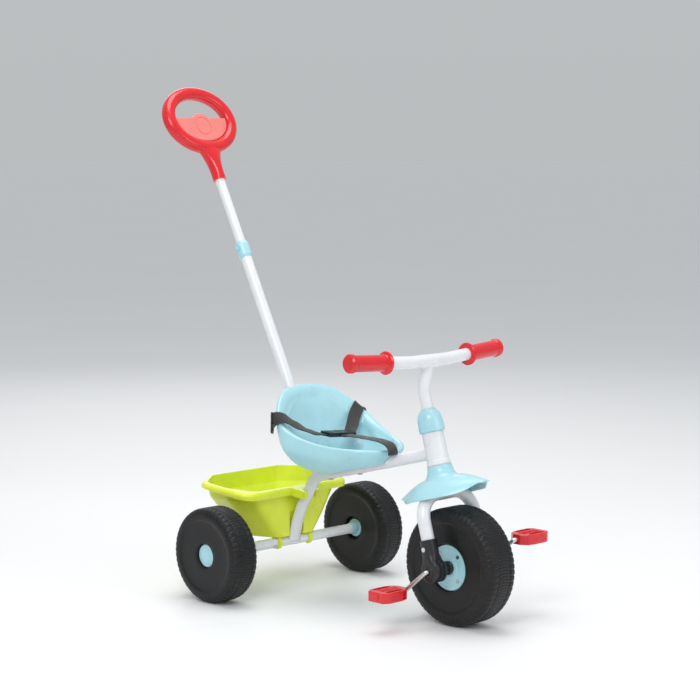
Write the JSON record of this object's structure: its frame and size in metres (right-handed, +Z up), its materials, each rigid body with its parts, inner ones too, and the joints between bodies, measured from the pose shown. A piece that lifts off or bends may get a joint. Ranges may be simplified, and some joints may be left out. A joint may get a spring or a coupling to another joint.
{
  "type": "children's tricycle",
  "caption": "Tubular steel tricycle with moulded bucket seat and harness, pedalled front wheel, tipping rear basket and a telescopic push pole with loop handle.",
  "frame": {"origin": "on the ground, under the middle of the whole tricycle", "axes": "+X forwards, the way it rides; +Y to the rider's left; +Z up"},
  "size_m": [0.8595, 0.4536, 0.9726],
  "materials": {
    "white_paint": "smooth white powder coat on steel tube, semi-gloss",
    "bright_steel": "zinc-plated steel, satin",
    "blue_plastic": "light blue polyethylene, soft gloss",
    "white_plastic": "white plastic, satin",
    "red_plastic": "red plastic, glossy",
    "pale_red_plastic": "lighter red plastic, satin",
    "lime_plastic": "lime green polypropylene, glossy",
    "black_plastic": "black moulded plastic, satin",
    "black_webbing": "woven black polypropylene webbing"
  },
  "bodies": {
    "frame": {"head_tube": "white_paint", "backbone": "white_paint", "rear_axle_tube": "white_paint", "rear_axle_rod": "bright_steel", "axle_set_screw": "bright_steel", "axle_sleeve_left": "blue_plastic", "axle_sleeve_right": "blue_plastic", "axle_nuts": "bright_steel", "pole_socket": "white_paint", "pole_lower": "white_paint", "pole_collar": "blue_plastic", "headset_bush_lower": "white_plastic", "headset_bush_upper": "blue_plastic", "seat_shell": "blue_plastic", "seat_screws": "bright_steel", "waist_strap_right": "black_webbing", "waist_strap_left": "black_webbing", "crotch_strap": "black_webbing", "buckle_socket": "black_plastic", "buckle_tongue": "black_plastic", "strap_slider": "black_plastic"},
    "steering": {"fork": "white_paint", "fork_cover_outer_left": "black_plastic", "fork_cover_outer_right": "black_plastic", "fork_cover_inner_left": "black_plastic", "fork_cover_inner_right": "black_plastic", "cover_screws": "bright_steel", "stem": "white_paint", "handlebar": "white_paint", "handlebar_saddle": "white_paint", "steering_cap": "blue_plastic", "grip_left": "red_plastic", "grip_right": "red_plastic", "mudguard": "blue_plastic"},
    "front_wheel": {"front_wheel": "black_plastic", "front_core": "white_plastic", "hub_disc_left": "blue_plastic", "hub_disc_right": "blue_plastic", "hub_screws": "bright_steel", "crank": "bright_steel"},
    "pedal_left": {"pedal_left": "red_plastic", "pedal_plug_left": "red_plastic"},
    "pedal_right": {"pedal_right": "red_plastic", "pedal_plug_right": "red_plastic"},
    "rear_wheel_left": {"rear_wheel_left": "black_plastic", "rear_core_left": "white_plastic", "hub_cap_left": "blue_plastic"},
    "rear_wheel_right": {"rear_wheel_right": "black_plastic", "rear_core_right": "white_plastic", "hub_cap_right": "blue_plastic"},
    "push_pole": {"pole_upper": "white_paint", "push_handle": "red_plastic", "handle_web": "pale_red_plastic"},
    "lock_button": {"lock_button": "blue_plastic"},
    "basket": {"basket": "lime_plastic"}
  },
  "joints": [
    {"name": "steering_turn", "type": "hinge", "parent": "frame", "child": "steering", "pos_m": [0.3227, 0, 0.107], "axis": [-0.2807, 0, 0.9598], "range_deg": [-40, 40]},
    {"name": "front_wheel_spin", "type": "hinge", "parent": "steering", "child": "front_wheel", "pos_m": [0.3227, 0, 0.107], "axis": [0, 1, 0], "continuous": true},
    {"name": "pedal_left_spin", "type": "hinge", "parent": "front_wheel", "child": "pedal_left", "pos_m": [0.37019, 0, 0.14685], "axis": [0, 1, 0], "continuous": true},
    {"name": "pedal_right_spin", "type": "hinge", "parent": "front_wheel", "child": "pedal_right", "pos_m": [0.2752, 0, 0.06715], "axis": [0, 1, 0], "continuous": true},
    {"name": "rear_wheel_left_spin", "type": "hinge", "parent": "frame", "child": "rear_wheel_left", "pos_m": [-0.121, 0.196, 0.09], "axis": [0, 1, 0], "continuous": true},
    {"name": "rear_wheel_right_spin", "type": "hinge", "parent": "frame", "child": "rear_wheel_right", "pos_m": [-0.121, -0.196, 0.09], "axis": [0, 1, 0], "continuous": true},
    {"name": "pole_slide", "type": "slide", "parent": "frame", "child": "push_pole", "axis": [-0.4571, 0, 0.8894], "range_m": [-0.13, 0]},
    {"name": "lock_button_press", "type": "slide", "parent": "frame", "child": "lock_button", "axis": [0, 1, 0], "range_m": [0, 0.0014], "stiffness_N_per_m": 300},
    {"name": "basket_tip", "type": "hinge", "parent": "frame", "child": "basket", "pos_m": [-0.121, 0, 0.09], "axis": [0, -1, 0], "range_deg": [0, 55]}
  ]
}
